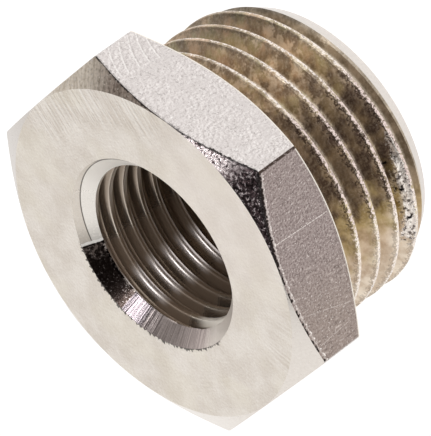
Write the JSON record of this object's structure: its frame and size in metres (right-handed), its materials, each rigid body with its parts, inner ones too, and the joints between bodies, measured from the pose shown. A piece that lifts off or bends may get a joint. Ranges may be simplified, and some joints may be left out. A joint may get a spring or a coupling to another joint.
{
  "type": "reducing nipple",
  "caption": "Hexagon-headed reducing nipple with a male pipe thread and a smaller female pipe thread tapped through it.",
  "frame": {"origin": "centre of the male thread's end face, which it stands on", "axes": "+Z along the bore towards the hexagon's face, +X through one corner of the hexagon"},
  "size_m": [0.0278, 0.024, 0.0156],
  "materials": {
    "nickel_plate": "nickel-plated, turned and milled"
  },
  "bodies": {
    "root": {"reducing_nipple": "nickel_plate"}
  },
  "joints": []
}
